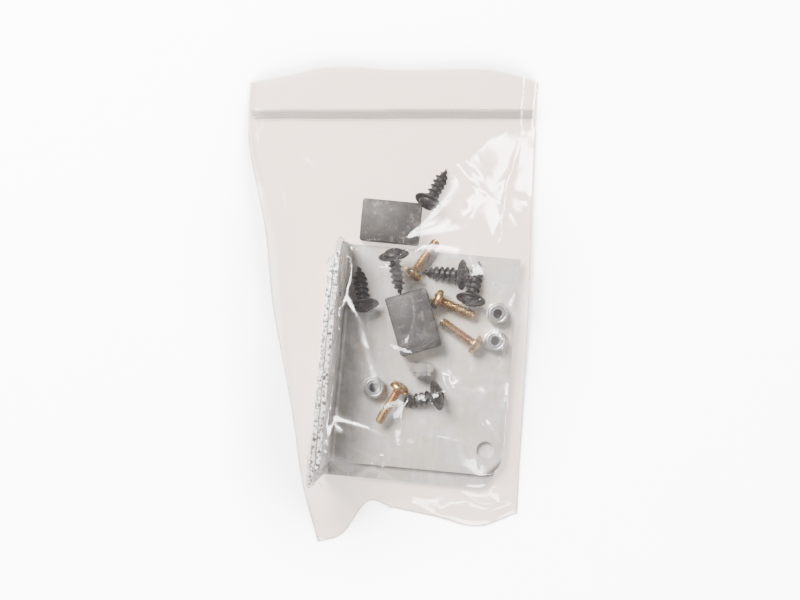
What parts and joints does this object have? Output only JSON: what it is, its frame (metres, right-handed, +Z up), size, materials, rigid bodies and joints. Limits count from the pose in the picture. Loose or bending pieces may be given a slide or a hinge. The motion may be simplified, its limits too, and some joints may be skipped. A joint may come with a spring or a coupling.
{
  "type": "stair gate latch fitting pack",
  "caption": "Clear grip-seal bag lying flat with nested angle latch plates, spacer blocks, wood screws, machine screws and nylon-ring lock nuts loose inside.",
  "frame": {"origin": "on the surface the bag lies on, under the middle of its outline", "axes": "+Z up, +Y along the bag towards its zip, +X to the right seen from above"},
  "size_m": [0.133, 0.218, 0.0383],
  "materials": {
    "film": "clear milky polythene film, glossy, creased",
    "zinc": "bright zinc plate with faint spangle and scuffs",
    "yellow_zinc": "yellow-passivated zinc on steel, satin",
    "black_steel": "black phosphate, satin",
    "block_rubber": "dark grey, matt, sharp-edged",
    "nylon": "off-white translucent nylon"
  },
  "bodies": {
    "bag": {"bag_back_panel": "film", "bag_front_panel": "film", "zip_track_back": "film"},
    "front_lip": {"bag_front_lip": "film", "zip_track_front": "film"},
    "angle_plate_lower": {"angle_plate_lower": "zinc"},
    "angle_plate_upper": {"angle_plate_upper": "zinc"},
    "lock_nut_1": {"lock_nut_1": "zinc", "lock_nut_insert_1": "nylon"},
    "lock_nut_2": {"lock_nut_2": "zinc", "lock_nut_insert_2": "nylon"},
    "lock_nut_3": {"lock_nut_3": "zinc", "lock_nut_insert_3": "nylon"},
    "lock_nut_4": {"lock_nut_4": "zinc", "lock_nut_insert_4": "nylon"},
    "machine_screw_1": {"machine_screw_1": "yellow_zinc"},
    "machine_screw_2": {"machine_screw_2": "yellow_zinc"},
    "machine_screw_3": {"machine_screw_3": "yellow_zinc"},
    "machine_screw_4": {"machine_screw_4": "yellow_zinc"},
    "spacer_block_1": {"spacer_block_1": "block_rubber"},
    "spacer_block_2": {"spacer_block_2": "block_rubber"},
    "wood_screw_1": {"wood_screw_1": "black_steel"},
    "wood_screw_2": {"wood_screw_2": "black_steel"},
    "wood_screw_3": {"wood_screw_3": "black_steel"},
    "wood_screw_4": {"wood_screw_4": "black_steel"},
    "wood_screw_5": {"wood_screw_5": "black_steel"},
    "wood_screw_6": {"wood_screw_6": "black_steel"}
  },
  "joints": [
    {"name": "lip_opening", "type": "hinge", "parent": "bag", "child": "front_lip", "pos_m": [0, 0.081, 0.0039], "axis": [1, 0, 0], "range_deg": [0, 60]},
    {"name": "angle_plate_lower_slide", "type": "slide", "parent": "bag", "child": "angle_plate_lower", "axis": [0.0924, 0.9957, 0], "range_m": [-0.003, 0.008]},
    {"name": "angle_plate_upper_slide", "type": "slide", "parent": "bag", "child": "angle_plate_upper", "axis": [0.0924, 0.9957, 0], "range_m": [-0.007, 0.0015]},
    {"name": "lock_nut_1_slide", "type": "slide", "parent": "bag", "child": "lock_nut_1", "axis": [0.7071, 0.7071, 0], "range_m": [0, 0.0075]},
    {"name": "lock_nut_2_slide", "type": "slide", "parent": "bag", "child": "lock_nut_2", "axis": [-0.2588, -0.9659, 0], "range_m": [0, 0.0075]},
    {"name": "lock_nut_3_slide", "type": "slide", "parent": "bag", "child": "lock_nut_3", "axis": [0.866, 0.5, 0], "range_m": [0, 0.0075]},
    {"name": "lock_nut_4_slide", "type": "slide", "parent": "bag", "child": "lock_nut_4", "axis": [0.5, 0.866, 0], "range_m": [0, 0.0075]},
    {"name": "machine_screw_1_slide", "type": "slide", "parent": "bag", "child": "machine_screw_1", "axis": [0.2588, 0.9659, 0], "range_m": [0, 0.0075]},
    {"name": "machine_screw_2_slide", "type": "slide", "parent": "bag", "child": "machine_screw_2", "axis": [0.5, -0.866, 0], "range_m": [0, 0.0055]},
    {"name": "machine_screw_3_slide", "type": "slide", "parent": "bag", "child": "machine_screw_3", "axis": [-0.5, -0.866, 0], "range_m": [0, 0.0015]},
    {"name": "machine_screw_4_slide", "type": "slide", "parent": "bag", "child": "machine_screw_4", "axis": [0.2588, 0.9659, 0], "range_m": [0, 0.0065]},
    {"name": "spacer_block_1_slide", "type": "slide", "parent": "bag", "child": "spacer_block_1", "axis": [-0.5, 0.866, 0], "range_m": [0, 0.0075]},
    {"name": "spacer_block_2_slide", "type": "slide", "parent": "bag", "child": "spacer_block_2", "axis": [0.2588, -0.9659, 0], "range_m": [0, 0.0015]},
    {"name": "wood_screw_1_slide", "type": "slide", "parent": "bag", "child": "wood_screw_1", "axis": [1, 0, 0], "range_m": [0, 0.0075]},
    {"name": "wood_screw_2_slide", "type": "slide", "parent": "bag", "child": "wood_screw_2", "axis": [0.7071, 0.7071, 0], "range_m": [0, 0.0075]},
    {"name": "wood_screw_3_slide", "type": "slide", "parent": "bag", "child": "wood_screw_3", "axis": [0.7071, 0.7071, 0], "range_m": [0, 0.0065]},
    {"name": "wood_screw_4_slide", "type": "slide", "parent": "bag", "child": "wood_screw_4", "axis": [0.866, 0.5, 0], "range_m": [0, 0.0075]},
    {"name": "wood_screw_5_slide", "type": "slide", "parent": "bag", "child": "wood_screw_5", "axis": [0.7071, 0.7071, 0], "range_m": [0, 0.0075]},
    {"name": "wood_screw_6_slide", "type": "slide", "parent": "bag", "child": "wood_screw_6", "axis": [-0.2588, 0.9659, 0], "range_m": [0, 0.0075]}
  ]
}
